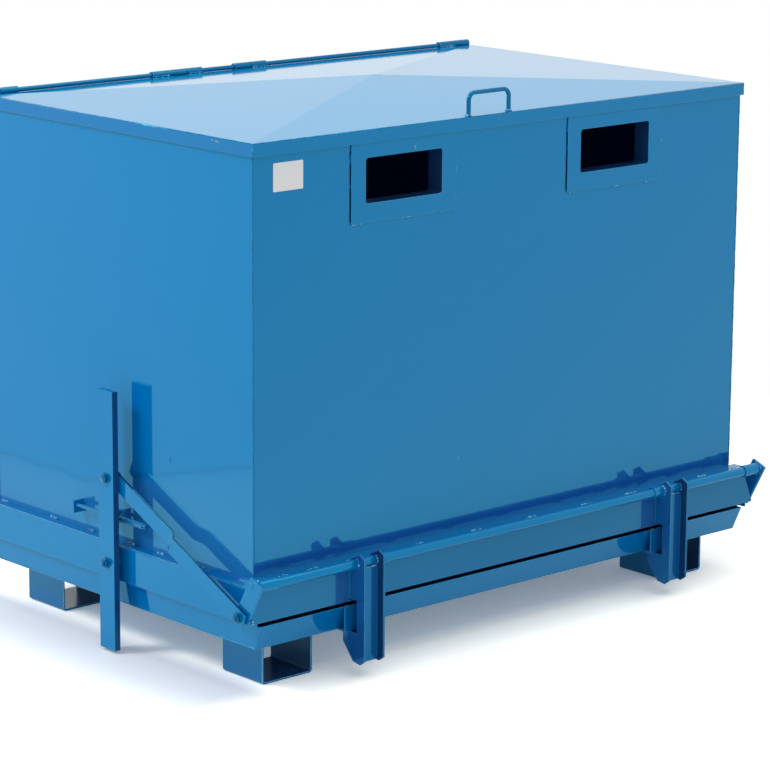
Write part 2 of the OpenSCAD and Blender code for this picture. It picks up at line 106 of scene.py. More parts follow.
# The feet under the tray
TRAY_LOW = span("tray_floor", Z)[0]
FOOT_WIDE, FOOT_NEAR, FOOT_FAR = 170, 43, 206
FOOT_OUT = span("feet", X)[1]
FOOT_IN = FOOT_OUT - FOOT_WIDE
FOOT_ROWS = [(FRONT_Y + FOOT_NEAR, FRONT_Y + FOOT_FAR), (BACK_Y - FOOT_FAR, BACK_Y - FOOT_NEAR)]

# Places of the Mix node's colour sockets, whose names its number sockets share
COLOUR_A, COLOUR_B, COLOUR_OUT = 6, 7, 2


# Shader building

def make_node(tree, kind, inputs=None, **settings):
    """A shader node with its settings and its unlinked input values."""
    node = tree.nodes.new(kind)
    for key, value in settings.items():
        setattr(node, key, value)
    for key, value in (inputs or {}).items():
        node.inputs[key].default_value = value
    return node


def join(tree, *pairs):
    """Links output sockets to input sockets, given as pairs."""
    for source, target in pairs:
        tree.links.new(source, target)


def new_group(name, inputs, outputs):
    """An empty node group with its named sockets, and its input and output nodes."""
    tree = bpy.data.node_groups.new(name, "ShaderNodeTree")
    for title, kind, value in inputs:
        socket = tree.interface.new_socket(title, in_out="INPUT", socket_type=kind)
        socket.default_value = value
    for title, kind in outputs:
        tree.interface.new_socket(title, in_out="OUTPUT", socket_type=kind)
    return tree, tree.nodes.new("NodeGroupInput"), tree.nodes.new("NodeGroupOutput")


def math_node(tree, operation, a, b=None, c=None, clamp=False):
    """A Math node whose inputs are sockets or numbers. Gives its output socket."""
    node = make_node(tree, "ShaderNodeMath", operation=operation, use_clamp=clamp)
    for slot, value in enumerate((a, b, c)):
        if value is None:
            continue
        if isinstance(value, (int, float)):
            node.inputs[slot].default_value = value
        else:
            tree.links.new(value, node.inputs[slot])
    return node.outputs[0]


def mix_colour(tree, factor, a, b):
    """A colour mix of two sockets or colours. Gives its colour output."""
    node = make_node(tree, "ShaderNodeMix", data_type="RGBA")
    targets = (node.inputs["Factor"], node.inputs[COLOUR_A], node.inputs[COLOUR_B])
    for value, target in zip((factor, a, b), targets):
        if hasattr(value, "is_linked"):
            tree.links.new(value, target)
        else:
            target.default_value = value
    return node.outputs[COLOUR_OUT]


def smooth_step(tree, value, start, end):
    """A soft change from 0 at start to 1 at end, which may be the lower of the two."""
    node = make_node(tree, "ShaderNodeMapRange", {"From Min": start, "From Max": end},
                     interpolation_type="SMOOTHSTEP")
    tree.links.new(value, node.inputs["Value"])
    return node.outputs["Result"]


def sheet_waves_group():
    """Height of the slow buckles in a steel sheet and of the orange peel in its enamel, in metres."""
    tree, given, out = new_group(
        "sheet_waves",
        [("Buckle", "NodeSocketFloat", 0.0004), ("Peel", "NodeSocketFloat", 0.0)],
        [("Height", "NodeSocketFloat")])
    place = make_node(tree, "ShaderNodeTexCoord")
    slow = make_node(tree, "ShaderNodeTexNoise", {"Scale": 1.7, "Detail": 1.0, "Roughness": 0.4})
    peel = make_node(tree, "ShaderNodeTexNoise", {"Scale": 160.0, "Detail": 1.0, "Roughness": 0.5})
    join(tree, (place.outputs["Object"], slow.inputs["Vector"]),
         (place.outputs["Object"], peel.inputs["Vector"]))
    tall = math_node(tree, "MULTIPLY", math_node(tree, "SUBTRACT", slow.outputs["Fac"], 0.5),
                     given.outputs["Buckle"])
    small = math_node(tree, "MULTIPLY", math_node(tree, "SUBTRACT", peel.outputs["Fac"], 0.5),
                      given.outputs["Peel"])
    join(tree, (math_node(tree, "ADD", tall, small), out.inputs["Height"]))
    return tree


def painted_floor_glow_group():
    """Mask of a painted reflection of the pale floor, paler on the lower part of the sheets, and of
    a painted dark reflection of the horizon as a line at its wavy top.

    Rise lifts the line towards the front, from 0.154 m behind the middle.
    """
    tree, given, out = new_group(
        "painted_floor_glow",
        [("Floor Glow", "NodeSocketFloat", 0.3), ("Floor Glow Top", "NodeSocketFloat", 0.45),
         ("Floor Glow Blend", "NodeSocketFloat", 0.3), ("Rise", "NodeSocketFloat", 0.0)],
        [("Mask", "NodeSocketFloat"), ("Line", "NodeSocketFloat")])
    rise_start, wander_height, line_width = 0.154, 0.022, 0.011
    place = make_node(tree, "ShaderNodeTexCoord")
    wander = make_node(tree, "ShaderNodeTexNoise", {"Scale": 7.0, "Detail": 1.0, "Roughness": 0.45})
    parts = make_node(tree, "ShaderNodeSeparateXYZ")
    join(tree, (place.outputs["Object"], wander.inputs["Vector"]),
         (place.outputs["Object"], parts.inputs["Vector"]))
    shift = math_node(tree, "MULTIPLY", math_node(tree, "SUBTRACT", wander.outputs["Fac"], 0.5),
                      wander_height)
    forward = math_node(tree, "MAXIMUM", math_node(tree, "SUBTRACT", rise_start, parts.outputs["Y"]), 0.0)
    line = math_node(tree, "MULTIPLY_ADD", forward, given.outputs["Rise"], given.outputs["Floor Glow Top"])
    height = math_node(tree, "ADD", parts.outputs["Z"], shift)
    below = math_node(tree, "SUBTRACT", line, height)
    soft = math_node(tree, "DIVIDE", below, given.outputs["Floor Glow Blend"], clamp=True)
    off = math_node(tree, "ABSOLUTE", math_node(tree, "DIVIDE", below, line_width))
    near = math_node(tree, "SUBTRACT", 1.0, off, clamp=True)
    join(tree, (math_node(tree, "MULTIPLY", soft, given.outputs["Floor Glow"]), out.inputs["Mask"]),
         (near, out.inputs["Line"]))
    return tree


def enamel_tone_group():
    """Colour and roughness of the enamel: faint clouding, painted edge light and worn edges, pale specks.
    """
    tree, given, out = new_group(
        "enamel_tone",
        [("Paint", "NodeSocketColor", (0, 0.17, 0.49, 1)),
         ("Edge Light And Wear", "NodeSocketColor", (0.05, 0.3, 0.55, 1)),
         ("Clouding", "NodeSocketFloat", 0.06),
         ("Edge Light And Wear Share", "NodeSocketFloat", 0.6),
         ("Roughness", "NodeSocketFloat", 0.05),
         ("Specks", "NodeSocketFloat", 0.5)],
        [("Color", "NodeSocketColor"), ("Roughness", "NodeSocketFloat")])
    place = make_node(tree, "ShaderNodeTexCoord")
    cloud = make_node(tree, "ShaderNodeTexNoise", {"Scale": 2.6, "Detail": 3.0, "Roughness": 0.5})
    fine = make_node(tree, "ShaderNodeTexNoise", {"Scale": 45.0, "Detail": 2.0, "Roughness": 0.6})
    join(tree, (place.outputs["Object"], cloud.inputs["Vector"]),
         (place.outputs["Object"], fine.inputs["Vector"]))
    # Clouding makes the paint a few per cent lighter and darker
    shift = math_node(tree, "SUBTRACT", cloud.outputs["Fac"], 0.5)
    gain = math_node(tree, "MULTIPLY_ADD", shift, given.outputs["Clouding"], 1.0)
    tinted = make_node(tree, "ShaderNodeVectorMath", operation="SCALE")
    join(tree, (given.outputs["Paint"], tinted.inputs[0]), (gain, tinted.inputs["Scale"]))
    # Painted light on the rounded edges, in patches: mostly a painted highlight, on the lid a painted
    # dark edge, mixed in with worn thin paint
    edge = make_node(tree, "ShaderNodeAttribute", attribute_name="edge_band")
    patchy = make_node(tree, "ShaderNodeMapRange",
                       {"From Min": 0.35, "From Max": 0.62, "To Min": 0.35, "To Max": 1.0})
    join(tree, (fine.outputs["Fac"], patchy.inputs["Value"]))
    thin = math_node(tree, "MULTIPLY", edge.outputs["Fac"], patchy.outputs["Result"])
    thin = math_node(tree, "MULTIPLY", thin, given.outputs["Edge Light And Wear Share"])
    edged = mix_colour(tree, thin, tinted.outputs[0], given.outputs["Edge Light And Wear"])
    # Small pale specks, far apart
    dots = make_node(tree, "ShaderNodeTexVoronoi", {"Scale": 11.0})
    join(tree, (place.outputs["Object"], dots.inputs["Vector"]))
    spot = make_node(tree, "ShaderNodeMapRange",
                     {"From Min": 0.012, "From Max": 0.028, "To Min": 1.0, "To Max": 0.0})
    pick = make_node(tree, "ShaderNodeSeparateColor")
    join(tree, (dots.outputs["Distance"], spot.inputs["Value"]),
         (dots.outputs["Color"], pick.inputs["Color"]))
    rare = math_node(tree, "GREATER_THAN", pick.outputs["Red"], 0.95)
    speck = math_node(tree, "MULTIPLY", math_node(tree, "MULTIPLY", spot.outputs["Result"], rare),
                      given.outputs["Specks"])
    specked = mix_colour(tree, speck, edged, SPECK_COLOUR)
    rough = math_node(tree, "MULTIPLY_ADD", fine.outputs["Fac"], 0.03, given.outputs["Roughness"])
    rough = math_node(tree, "MULTIPLY_ADD", speck, 0.4, rough)
    join(tree, (specked, out.inputs["Color"]), (rough, out.inputs["Roughness"]))
    return tree


# Materials

SPECK_COLOUR = (0.3, 0.5, 0.65, 1)
# Painted reflection of the pale floor on the lower sheets, and the painted horizon line at its top
FLOOR_GLOW_COLOUR = (0.30, 0.36, 0.42, 1)
HORIZON_LINE_COLOUR = (0.0, 0.06, 0.2, 1)
WAVES = sheet_waves_group()
FLOOR_GLOW = painted_floor_glow_group()
TONE = enamel_tone_group()


def enamel(name, paint, edge_light_and_wear, roughness=0.05, ior=1.9, tint=(0.04, 0.85, 1.0, 1),
           buckle=0.0004, peel=0.000004, clouding=0.06, edge_light_and_wear_share=0.6, specks=0.5,
           floor_glow=0.0, floor_glow_top=0.45, floor_glow_blend=0.3, rise=0.0, line=0.0):
    """Glossy stove enamel on steel."""
    material = bpy.data.materials.new(name)
    material.use_nodes = True
    tree = material.node_tree
    shader = tree.nodes["Principled BSDF"]
    shader.inputs["IOR"].default_value = ior
    shader.inputs["Specular Tint"].default_value = tint
    tone = make_node(tree, "ShaderNodeGroup", {
        "Paint": paint, "Edge Light And Wear": edge_light_and_wear, "Clouding": clouding, "Edge Light And Wear Share": edge_light_and_wear_share,
        "Roughness": roughness, "Specks": specks}, node_tree=TONE)
    glow_node = make_node(tree, "ShaderNodeGroup", {
        "Floor Glow": floor_glow, "Floor Glow Top": floor_glow_top, "Floor Glow Blend": floor_glow_blend, "Rise": rise}, node_tree=FLOOR_GLOW)
    # Painted reflection: the floor's glow makes the lower sheet paler, and a dark line paints the
    # horizon's reflection
    glowing_colour = mix_colour(tree, glow_node.outputs["Mask"], tone.outputs["Color"], FLOOR_GLOW_COLOUR)
    if line:
        shade = math_node(tree, "MULTIPLY", glow_node.outputs["Line"], line)
        glowing_colour = mix_colour(tree, shade, glowing_colour, HORIZON_LINE_COLOUR)
    waves = make_node(tree, "ShaderNodeGroup", {"Buckle": buckle, "Peel": peel}, node_tree=WAVES)
    bump = make_node(tree, "ShaderNodeBump", {"Strength": 1.0, "Distance": 1.0})
    join(tree, (glowing_colour, shader.inputs["Base Color"]),
         (tone.outputs["Roughness"], shader.inputs["Roughness"]),
         (waves.outputs["Height"], bump.inputs["Height"]),
         (bump.outputs["Normal"], shader.inputs["Normal"]))
    return material


BODY_BLUE = (0.0, 0.17, 0.49, 1)
EDGE_BLUE = (0.08, 0.36, 0.66, 1)
PLATE_BUCKLE = 0.00008
sheet_enamel = enamel("sheet_enamel", BODY_BLUE, EDGE_BLUE, edge_light_and_wear_share=0.5)
# A darker, glossier copy of the body blue: painted shade for the front wall, also on the back wall, slot
# frames and lid rim, with a faint painted floor reflection low down
front_enamel = enamel("front_enamel", (0.0, 0.11, 0.432, 1), EDGE_BLUE, ior=2.2,
                      tint=(0.09, 0.85, 1.0, 1), floor_glow=0.035, floor_glow_top=1.3, floor_glow_blend=0.9)
# The body blue, with a painted floor reflection low on the side walls and a painted horizon line at its
# top
side_enamel = enamel("side_enamel", BODY_BLUE, EDGE_BLUE, floor_glow=0.05, floor_glow_top=0.433,
                     floor_glow_blend=0.03, rise=0.25, line=0.22)
plate_enamel = enamel("plate_enamel", BODY_BLUE, EDGE_BLUE, buckle=PLATE_BUCKLE, peel=0.000006,
                      edge_light_and_wear_share=0.9)
# Darker copies of the body blue: painted shade on the hooks, feet and front beam; the hooks' pale edge
# colour is a painted highlight
hook_enamel = enamel("hook_enamel", (0.01, 0.12, 0.4, 1), (0.32, 0.62, 0.88, 1), buckle=PLATE_BUCKLE,
                     edge_light_and_wear_share=1.0)
beam_enamel = enamel("beam_enamel", (0.02, 0.12, 0.375, 1), EDGE_BLUE, edge_light_and_wear_share=0.6)
arm_enamel = enamel("arm_enamel", BODY_BLUE, (0.0, 0.2, 0.5, 1), buckle=PLATE_BUCKLE, edge_light_and_wear_share=0.9)
# A lighter copy of the body blue with a dark edge colour: painted light on the lid's top and a painted
# dark line along its edges
lid_enamel = enamel("lid_enamel", (0.0, 0.275, 0.585, 1), (0.0, 0.05, 0.22, 1), ior=1.6,
                    edge_light_and_wear_share=0.9)
# A dark copy of the body blue with a pale edge colour: painted shade and painted highlights on the handle,
# knuckles and hinge rod
bar_enamel = enamel("bar_enamel", (0.0, 0.09, 0.3, 1), (0.1, 0.35, 0.6, 1), roughness=0.03,
                    buckle=0.0, edge_light_and_wear_share=0.9)
# Painted shade: darker copies of the body blue for the faces that SHADED picks
lever_shade_enamel = enamel("lever_shade_enamel", (0.01, 0.065, 0.22, 1), (0.03, 0.2, 0.45, 1), ior=1.5,
                     buckle=0.0)
shade_enamel = enamel("shade_enamel", (0.01, 0.05, 0.17, 1), (0.03, 0.15, 0.35, 1), ior=1.5,
                      buckle=0.0)
foot_shade_enamel = enamel("foot_shade_enamel", (0.02, 0.06, 0.16, 1), (0.02, 0.08, 0.2, 1), roughness=0.2,
                      ior=1.4, buckle=0.0)
# A darker copy of the body blue; its pale edge colour paints glints, a painted highlight, on the beads
weld_enamel = enamel("weld_enamel", (0.0, 0.13, 0.4, 1), (0.5, 0.75, 0.9, 1), roughness=0.06,
                     buckle=0.0, peel=0.00003, clouding=0.3, edge_light_and_wear_share=0.9)
# A dark copy of the body blue with a pale edge colour: painted shade and painted glints on the bolts
bolt_enamel = enamel("bolt_enamel", (0.0, 0.07, 0.25, 1), (0.3, 0.5, 0.7, 1), roughness=0.06,
                     buckle=0.0, peel=0.00002, clouding=0.6, edge_light_and_wear_share=0.9)
rod_enamel = enamel("rod_enamel", (0.01, 0.16, 0.4, 1), (0.25, 0.4, 0.5, 1), roughness=0.1,
                    buckle=0.0, peel=0.00001, clouding=0.4, edge_light_and_wear_share=0.8)
scuffed_enamel = enamel("scuffed_enamel", (0.22, 0.36, 0.47, 1), (0.3, 0.4, 0.5, 1), roughness=0.4,
                        buckle=0.0, peel=0.00002, clouding=0.8)
seam_shadow = enamel("seam_shadow", (0.0, 0.008, 0.03, 1), (0.0, 0.01, 0.04, 1), roughness=0.7,
                     ior=1.3, buckle=0.0, peel=0.00002, clouding=0.5, specks=0.0)
plate_white = enamel("blank_plate_white", (0.86, 0.88, 0.88, 1), (0.7, 0.72, 0.72, 1),
                     roughness=0.25, ior=1.5, tint=(1, 1, 1, 1), buckle=0.0, clouding=0.02,
                     specks=0.0)


# Mesh helpers

# Faces that meet at less than this angle, in degrees, are shaded smooth
SMOOTH_BELOW = 35
LID_SMOOTH_BELOW = 1.5
WELD_SMOOTH_BELOW = 60
BEAD_SIDES = 8
SCUFF_SIDES = 14
# How far bolt heads and nuts are turned, in radians
HEXAGON_TURN = 0.2


def edge_bands(bm):
    """The layer that marks where painted edge light and worn paint show on a face: 1 on rounded edges, 0
    on flats.
    """
    return bm.faces.layers.float.get("edge_band") or bm.faces.layers.float.new("edge_band")


def keep(bm, name, materials, body, sharp=SMOOTH_BELOW):
    """Makes an object of a bmesh and lets it ride on a body.

    It is shaded smooth over angles below sharp, in degrees, and all over its rounded edges. Flat
    faces stay flat beside them, except on welds.
    """
    band = bm.faces.layers.float.get("edge_band")
    for face in bm.faces:
        face.smooth = True
    for edge in bm.edges:
        if len(edge.link_faces) != 2:
            continue
        one, two = edge.link_faces
        apart = band is not None and sharp < WELD_SMOOTH_BELOW and one[band] != two[band]
        within = band is not None and min(one[band], two[band]) > 0
        edge.smooth = not apart and (within or edge.calc_face_angle() < math.radians(sharp))
    mesh = bpy.data.meshes.new(name)
    bm.to_mesh(mesh)
    bm.free()
    for material in materials if isinstance(materials, tuple) else (materials,):
        mesh.materials.append(material)
    piece = bpy.data.objects.new(name, mesh)
    bpy.context.scene.collection.objects.link(piece)
    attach(piece, body)
    return piece


def soften(bm, width, least_angle=30, segments=2, where=None):
    """Rounds the sharp edges, or those that where() picks, and marks the new faces as edge bands."""
    band = edge_bands(bm)
    sharp = [e for e in bm.edges
             if len(e.link_faces) == 2 and e.calc_face_angle() > math.radians(least_angle)
             and (where is None or where(e))]
    made = bmesh.ops.bevel(bm, geom=sharp, offset=width * MM, offset_type="OFFSET",
                           segments=segments, profile=0.5, affect="EDGES", clamp_overlap=True)
    for face in made["faces"]:
        face[band] = 1.0


def cad_mesh(node):
    """The mesh of a CAD node with its split corners joined and its flat faces whole."""
    corner_gap, flat_within = 2e-6, math.radians(0.6)
    bm = bmesh.new()
    bm.from_mesh(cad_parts[node].data)
    bmesh.ops.remove_doubles(bm, verts=bm.verts, dist=corner_gap)
    bmesh.ops.dissolve_limit(bm, angle_limit=flat_within, verts=bm.verts, edges=bm.edges,
                             delimit={"NORMAL"})
    return bm


def dress(node, body, width, material):
    """Stands a copy of a CAD node with rounded edges in the node's place.

    The faces that SHADED picks for the node get its second, darker enamel as painted shade.
    """
    bm = cad_mesh(node)
    soften(bm, width)
    if node in SHADED:
        second, picks = SHADED[node]
        material = (material, second)
        for face in bm.faces:
            if picks(face.calc_center_median() / MM, face.normal):
                face.material_index = 1
    piece = keep(bm, node + "_dressed", material, body)
    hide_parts(node)
    return piece


def blunt_end(radius, reached, length):
    """Share of its radius that an open bead has at a place along it: both its ends are round."""
    to_end = min(reached, length - reached) / (1.6 * radius)
    return math.sqrt(max(0.02, min(1.0, to_end + 0.02)))


def add_bead(bm, points, radius, pitch, seed, wobble, side=None, closed=False, glint=3.0):
    """One weld bead along a line of points: overlapping ripples on an uneven line.

    side is the direction that stays across the line, and closed makes a whole ring. glint is how
    strongly the painted highlight shows in its patches.
    """
    band = edge_bands(bm)
    points = [Vector(p) for p in points]
    if closed:
        points.append(points[0])
    reach = [0.0]
    for p, q in zip(points, points[1:]):
        reach.append(reach[-1] + (q - p).length)
    length = reach[-1]
    steps = max(6, int(length / (pitch / 3)))
    if side is None:
        along = points[1] - points[0]
        level = abs(along.z) < 0.9 * along.length
        side = along.cross(Vector((0, 0, 1)) if level else Vector((1, 0, 0)))
    side = Vector(side).normalized()
    rings = []
    part = 0
    for i in range(steps if closed else steps + 1):
        reached = length * i / steps
        while part < len(points) - 2 and reached > reach[part + 1]:
            part += 1
        along = (points[part + 1] - points[part]).normalized()
        up = along.cross(side).normalized()
        spot = Vector((reached * 0.09, seed * 3.1, 0.5))
        ripple = (reached / pitch + seed * 0.37) % 1.0
        r = radius * (0.82 + 0.26 * ripple + 0.30 * noise.noise(spot))
        if not closed:
            r *= blunt_end(radius, reached, length)
        centre = (points[part] + along * (reached - reach[part])
                  + side * wobble * noise.noise(spot + Vector((0, 7, 0)))
                  + up * wobble * noise.noise(spot + Vector((0, 0, 7))))
        turns = [2 * math.pi * k / BEAD_SIDES for k in range(BEAD_SIDES)]
        rings.append([bm.verts.new((centre + (side * math.cos(t) + up * math.sin(t)) * r) * MM)
                      for t in turns])
    for i, (one, two) in enumerate(zip(rings, rings[1:] + rings[:1] if closed else rings[1:])):
        crest = noise.noise(Vector((i * 0.45, seed * 1.7, 3.3)))
        for k in range(BEAD_SIDES):
            after = (k + 1) % BEAD_SIDES
            face = bm.faces.new((one[k], two[k], two[after], one[after]))
            patch = crest + 0.25 * noise.noise(Vector((k * 1.1, i, seed)))
            face[band] = max(0.0, min(1.0, glint * patch))
    if not closed:
        bm.faces.new(rings[0])
        bm.faces.new(list(reversed(rings[-1])))


def arc_x(x, y, z, radius, start, turn, parts=24):
    """Points of an open arc round an axis along X, by degrees from +Y towards +Z."""
    angles = [math.radians(start + turn * i / parts) for i in range(parts + 1)]
    return [(x, y + radius * math.cos(t), z + radius * math.sin(t)) for t in angles]


def ring_z(x, y, z, radius, parts=16):
    """Points of a level ring."""
    angles = [2 * math.pi * i / parts for i in range(parts)]
    return [(x + radius * math.cos(t), y + radius * math.sin(t), z) for t in angles]


def add_turned(bm, x, profile, y, z, turn=1, flat=0.0, sides=48):
    """A turned piece along X from (place, radius) pairs. flat is the half width over hexagon flats."""
    rings = []
    for place, radius in profile:
        ring = []
        for k in range(sides):
            t = 2 * math.pi * k / sides
            r = radius
            if flat:
                r = min(radius, flat / math.cos((t + HEXAGON_TURN) % (math.pi / 3) - math.pi / 6))
            corner = Vector((x + turn * place, y + r * math.cos(t), z + r * math.sin(t)))
            ring.append(bm.verts.new(corner * MM))
        rings.append(ring)
    for one, two in zip(rings, rings[1:]):
        for k in range(sides):
            quad = (one[k], one[(k + 1) % sides], two[(k + 1) % sides], two[k])
            bm.faces.new(quad if turn > 0 else tuple(reversed(quad)))
    first, last = rings[0], rings[-1]
    bm.faces.new(list(reversed(first)) if turn > 0 else first)
    bm.faces.new(last if turn > 0 else list(reversed(last)))


# Camera

def aim_camera():
    """The photograph's view: from the left front, a little above, with a long lens."""
    place = (-5.98606, -6.70938, 2.65162)
    azimuth, elevation, roll = (math.radians(a) for a in (-41.86, 12.91, 0.36))
    data = bpy.data.cameras.new("photo_camera")
    data.lens, data.sensor_width = 152.77, 36.0
    data.clip_start, data.clip_end = 0.1, 200
    camera = bpy.data.objects.new("photo_camera", data)
    bpy.context.scene.collection.objects.link(camera)
    back = Vector((math.sin(azimuth) * math.cos(elevation),
                   -math.cos(azimuth) * math.cos(elevation), math.sin(elevation)))
    right = (-back).cross(Vector((0, 0, 1))).normalized()
    up = right.cross(-back)
    right, up = (math.cos(roll) * right + math.sin(roll) * up,
                 math.cos(roll) * up - math.sin(roll) * right)
    turn = Matrix((right, up, back)).transposed()
    camera.matrix_world = Matrix.Translation(place) @ turn.to_4x4()
    bpy.context.scene.camera = camera


# Studio

FILL_LIGHT = 0.56
FLOOR_HALF = 30
FLOOR_LIFT = 0.17
WHITE = (1, 1, 1, 1)
LIFT_COLOUR = (0.95, 1.0, 0.97, 1)
# Floor colours as the camera sees it, in mirror images, as it throws light back, and in the painted
# soft outer part of the shadow beside the left wall
SEEN_TONE = (1.68, 1.63, 1.48, 1)
MIRROR_TONE = (1.0, 1.0, 0.97, 1)
BOUNCE_TONE = (0.85, 0.85, 0.85, 1)
SHADOW_TONE = (0.76, 0.80, 0.87, 1)


def area_light(name, place, aim, size, radiance):
    """A square softbox that faces the aim point and shines with the given radiance."""
    data = bpy.data.lights.new(name, "AREA")
    data.shape, data.size = "SQUARE", size
    data.energy = radiance * math.pi * size * size
    lamp = bpy.data.objects.new(name, data)
    bpy.context.scene.collection.objects.link(lamp)
    direction = Vector(aim) - Vector(place)
    turn = direction.to_track_quat("-Z", "Y").to_matrix().to_4x4()
    lamp.matrix_world = Matrix.Translation(place) @ turn


def direct_ray(tree):
    """Two masks: the camera's own rays, and all rays by which a surface is seen as it is."""
    rays = make_node(tree, "ShaderNodeLightPath")
    by_camera = rays.outputs["Is Camera Ray"]
    seen = math_node(tree, "MAXIMUM", by_camera, rays.outputs["Is Glossy Ray"])
    seen = math_node(tree, "MAXIMUM", seen, rays.outputs["Is Transmission Ray"])
    return by_camera, seen


def light_studio():
    """White surroundings, a softbox overhead, a key softbox at the left and behind, a small spot."""
    world = bpy.data.worlds.new("studio")
    bpy.context.scene.world = world
    world.use_nodes = True
    tree = world.node_tree
    tree.nodes.clear()
    white = make_node(tree, "ShaderNodeBackground", {"Color": WHITE, "Strength": 1.0})
    fill = make_node(tree, "ShaderNodeBackground", {"Color": WHITE, "Strength": FILL_LIGHT})
    mix = make_node(tree, "ShaderNodeMixShader")
    end = make_node(tree, "ShaderNodeOutputWorld")
    by_camera, seen = direct_ray(tree)
    join(tree, (seen, mix.inputs[0]), (fill.outputs[0], mix.inputs[1]),
         (white.outputs[0], mix.inputs[2]), (mix.outputs[0], end.inputs["Surface"]))
    area_light("overhead_softbox", (0.3, -0.8, 4.6), aim=(0.1, -0.2, 0), size=4.2, radiance=1.15)
    area_light("key_softbox", (-4.2, 2.0, 4.2), aim=(0, 0, 0.6), size=1.6, radiance=15.0)
    area_light("spot_softbox", (-2.6, -4.2, 4.4), aim=(0, -0.5, 0.4), size=0.35, radiance=30.0)


def beside_left_wall(tree, place):
    """Mask of a painted shadow on a strip of floor beside the left wall, from the front corner and on
    past the back.
    """
    wall_foot, full_from, full_to, strip_end = -0.8, -0.9, -0.95, -1.4
    front_end, front_full = -0.66, -0.48
    parts = make_node(tree, "ShaderNodeSeparateXYZ")
    tree.links.new(place, parts.inputs["Vector"])
    near = smooth_step(tree, parts.outputs["X"], wall_foot, full_from)
    far = smooth_step(tree, parts.outputs["X"], strip_end, full_to)
    behind_front = smooth_step(tree, parts.outputs["Y"], front_end, front_full)
    return math_node(tree, "MULTIPLY", math_node(tree, "MULTIPLY", near, far), behind_front)


def paint_floor(material):
    """Pale and matt near the object, so that its shadow shows, and plain white away from it."""
    white_from, white_at = 1.5, 2.9
    material.use_nodes = True
    tree = material.node_tree
    tree.nodes.clear()
    place = make_node(tree, "ShaderNodeTexCoord").outputs["Object"]
    flat = make_node(tree, "ShaderNodeMapping", {"Scale": (1.0, 1.0, 0.0)})
    reach = make_node(tree, "ShaderNodeVectorMath", operation="LENGTH")
    join(tree, (place, flat.inputs["Vector"]), (flat.outputs[0], reach.inputs[0]))
    away = smooth_step(tree, reach.outputs["Value"], white_from, white_at)
    by_camera, seen = direct_ray(tree)
    tone = mix_colour(tree, seen, BOUNCE_TONE, MIRROR_TONE)
    tone = mix_colour(tree, by_camera, tone, SEEN_TONE)
    # Painted shadow: the camera sees the strip beside the left wall in SHADOW_TONE
    strip = math_node(tree, "MULTIPLY", beside_left_wall(tree, place), by_camera)
    tone = mix_colour(tree, strip, tone, SHADOW_TONE)
    matt = make_node(tree, "ShaderNodeBsdfDiffuse")
    lift = make_node(tree, "ShaderNodeEmission", {"Color": LIFT_COLOUR})
    lifted = make_node(tree, "ShaderNodeAddShader")
    white = make_node(tree, "ShaderNodeEmission", {"Color": WHITE, "Strength": 1.0})
    mix = make_node(tree, "ShaderNodeMixShader")
    end = make_node(tree, "ShaderNodeOutputMaterial")
    join(tree, (tone, matt.inputs["Color"]),
         (math_node(tree, "MULTIPLY", seen, FLOOR_LIFT), lift.inputs["Strength"]),
         (matt.outputs[0], lifted.inputs[0]), (lift.outputs[0], lifted.inputs[1]),
         (math_node(tree, "MULTIPLY", away, seen), mix.inputs[0]),
         (lifted.outputs[0], mix.inputs[1]), (white.outputs[0], mix.inputs[2]),
         (mix.outputs[0], end.inputs["Surface"]))


def lay_floor():
    """Pale floor that keeps the object's shadow and turns white away from it."""
    bm = bmesh.new()
    bmesh.ops.create_grid(bm, x_segments=8, y_segments=8, size=FLOOR_HALF)
    mesh = bpy.data.meshes.new("studio_floor")
    bm.to_mesh(mesh)
    bm.free()
    floor = bpy.data.objects.new("studio_floor", mesh)
    bpy.context.scene.collection.objects.link(floor)
    material = bpy.data.materials.new("pale_floor")
    paint_floor(material)
    mesh.materials.append(material)


# The lid

def fold_lid():
    """The lid: a low pyramid panel and its rim, bent down at the front and sides, as two pieces with
    softened edges.
    """
    bm = cad_mesh("lid_panel")
    top = (RIM_FOLD + 2) * MM
    soften(bm, width=2.2, least_angle=40, segments=4,
           where=lambda e: all(v.co.z > top for v in e.verts))
    lid = keep(bm, "lid_sheet", lid_enamel, "lid", sharp=LID_SMOOTH_BELOW)
    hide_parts("lid_panel")
    bm = cad_mesh("lid_rims")
    fold = (RIM_FOLD - 1) * MM
    soften(bm, width=0.9, where=lambda e: min(v.co.z for v in e.verts) < fold)
    rims = keep(bm, "lid_rim", front_enamel, "lid")
    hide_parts("lid_rims")


# Dressed pieces: each body's nodes with the width of their rounded edges

DRESSED = {
    "tray_frame": {"tray_floor": 0.8, "tray_sides": 1.2, "feet": 1.4, "keepers": 0.8, "front_beam": 1.0,
                   "hook_plates": 1.6, "hook_webs": 0.6, "hook_ramps": 1.0, "hook_sleeves": 0.8,
                   "left_end_plate": 1.5, "right_end_plate": 1.5, "end_sleeves": 0.8},
    "box": {"front_wall": 0.8, "back_wall": 0.8, "left_wall": 0.8, "right_wall": 0.8, "base_edge": 1.6,
            "left_skirt": 0.9, "right_skirt": 0.9, "back_skirt": 0.9, "rest_ledges": 0.6,
            "hinge_tube": 0.5, "tube_plugs": 0.5, "left_slot_frame": 1.1, "right_slot_frame": 1.1,
            "rod_guides": 1.0, "body_knuckles": 0.8, "hinge_rod": 0.6},
    "lid": {"lid_handle": 0.5, "lid_knuckles": 0.8},
    "left_lever_arm": {"left_lever": 1.2},
    "right_lever_arm": {"right_lever": 1.2},
    "left_link_bar": {"left_link": 0.9},
    "right_link_bar": {"right_link": 0.9},
}
ROD_EDGE = 0.6


def faces_front(centre, normal):
    return normal.y < -0.9


def narrow_side(centre, normal):
    return abs(normal.x) < 0.85 and normal.z > 0.3


